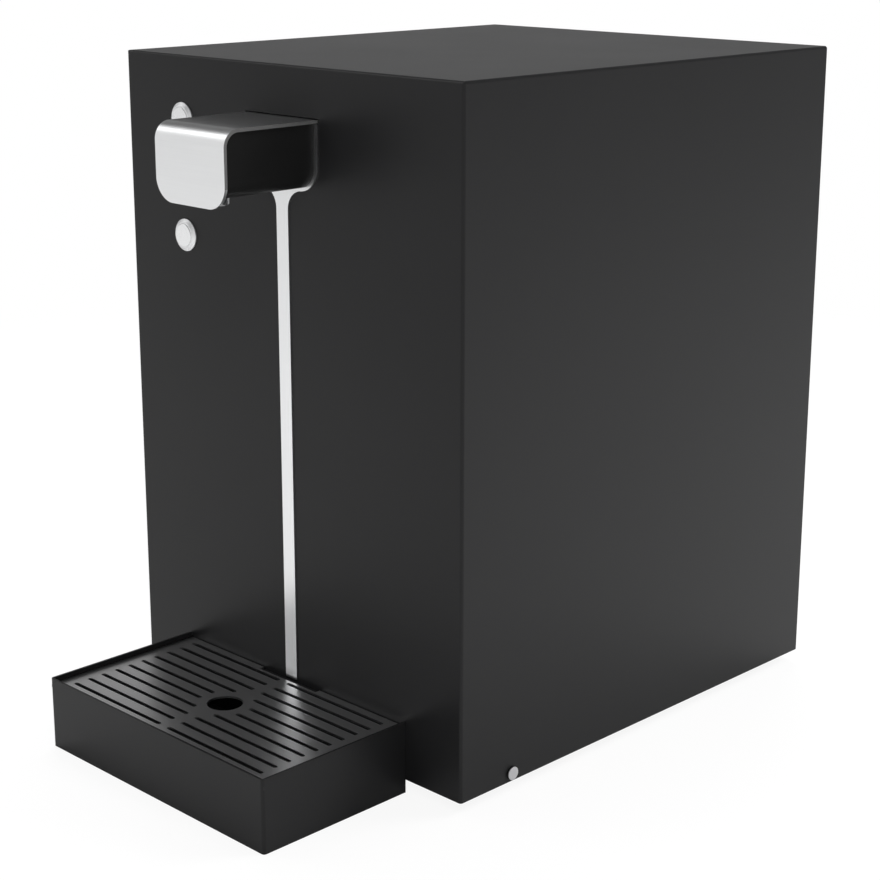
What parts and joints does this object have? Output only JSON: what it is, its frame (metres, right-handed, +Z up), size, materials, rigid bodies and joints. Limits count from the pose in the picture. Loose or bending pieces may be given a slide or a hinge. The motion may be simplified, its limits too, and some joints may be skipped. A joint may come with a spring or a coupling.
{
  "type": "sparkling water maker",
  "caption": "Countertop dispenser for chilled sparkling water: black folded cabinet, bent steel spout with a strip below, push buttons and a slotted drip tray.",
  "frame": {"origin": "on the worktop, under the middle of the whole footprint from the tray's front to the rear inlets", "axes": "+X to the right as seen from the front, +Y from the front panel to the back, +Z up"},
  "size_m": [0.3032, 0.4748, 0.431],
  "materials": {
    "cabinet_paint": "fine satin black powder coat",
    "pan_steel": "galvanised sheet",
    "bright_steel": "fine brushed stainless steel",
    "grille_steel": "satin stainless steel",
    "fastener_steel": "plated steel",
    "black_plastic": "fine textured moulded plastic",
    "black_rubber": "moulded rubber",
    "hose": "translucent tube",
    "foam": "moulded foam",
    "motor_paint": "motor enamel",
    "copper": "drawn copper tube",
    "fin_alloy": "thin stamped fins",
    "fitting_brass": "turned brass",
    "board": "coated circuit board"
  },
  "bodies": {
    "cabinet": {"base_pan": "pan_steel", "outer_cover": "cabinet_paint", "rear_panel": "cabinet_paint", "cover_screws": "fastener_steel", "cover_washers": "black_plastic", "rear_screws": "fastener_steel", "feet": "black_rubber", "foot_screws": "fastener_steel", "spout_cover": "bright_steel", "back_strip": "bright_steel", "spout_housing": "black_plastic", "spout_nozzle": "bright_steel", "nozzle_nut": "bright_steel", "nozzle_insert": "black_plastic", "outlet_hose": "hose", "spout_bracket": "pan_steel", "spout_screws": "fastener_steel", "upper_bezel": "bright_steel", "upper_spring": "fastener_steel", "upper_nut": "fastener_steel", "upper_switch": "black_plastic", "lower_bezel": "bright_steel", "lower_spring": "fastener_steel", "lower_nut": "fastener_steel", "lower_switch": "black_plastic", "fan_guard": "black_plastic", "fan_shroud": "black_plastic", "fan_motor": "motor_paint", "condenser_fins": "fin_alloy", "condenser_tubes": "copper", "compressor": "motor_paint", "compressor_grommets": "black_rubber", "tank_insulation": "foam", "cold_tank": "fastener_steel", "tank_lid": "foam", "evaporator_coil": "copper", "agitator_motor": "motor_paint", "carbonator": "fastener_steel", "pump_motor": "motor_paint", "pump_head": "fitting_brass", "pump_cradle": "black_plastic", "valve_block": "black_plastic", "valve_coils": "motor_paint", "mains_inlet": "black_plastic", "switch_housing": "black_plastic", "water_inlet": "fitting_brass", "co2_inlet": "fitting_brass", "power_supply": "motor_paint", "control_board": "board", "board_standoffs": "fitting_brass", "water_lines": "hose", "co2_line": "hose", "refrigerant_lines": "copper"},
    "upper_button": {"upper_cap": "bright_steel"},
    "lower_button": {"lower_cap": "bright_steel"},
    "tray": {"drip_tray": "cabinet_paint"},
    "grille": {"drip_grille": "grille_steel"},
    "fan": {"fan_blade": "black_plastic"},
    "stirrer": {"agitator": "fastener_steel"},
    "rocker": {"power_rocker": "black_plastic"}
  },
  "joints": [
    {"name": "upper_button_press", "type": "slide", "parent": "cabinet", "child": "upper_button", "axis": [0, 1, 0], "range_m": [0, 0.002], "stiffness_N_per_m": 900, "springref_m": -0.001, "deforming": ["upper_spring"]},
    {"name": "lower_button_press", "type": "slide", "parent": "cabinet", "child": "lower_button", "axis": [0, 1, 0], "range_m": [0, 0.002], "stiffness_N_per_m": 900, "springref_m": -0.001, "deforming": ["lower_spring"]},
    {"name": "tray_slide", "type": "slide", "parent": "cabinet", "child": "tray", "axis": [0, -1, 0], "range_m": [0, 0.14]},
    {"name": "grille_lift", "type": "slide", "parent": "tray", "child": "grille", "axis": [0, 0, 1], "range_m": [0, 0.06]},
    {"name": "fan_spin", "type": "hinge", "parent": "cabinet", "child": "fan", "pos_m": [-0.053, 0.1854, 0.294], "axis": [0, 1, 0], "continuous": true},
    {"name": "stirrer_spin", "type": "hinge", "parent": "cabinet", "child": "stirrer", "pos_m": [0.084, 0.0084, 0.2], "axis": [0, 0, 1], "continuous": true},
    {"name": "power_rocker_tilt", "type": "hinge", "parent": "cabinet", "child": "rocker", "pos_m": [0.04, 0.2134, 0.2082], "axis": [1, 0, 0], "range_deg": [-24, 0]}
  ]
}
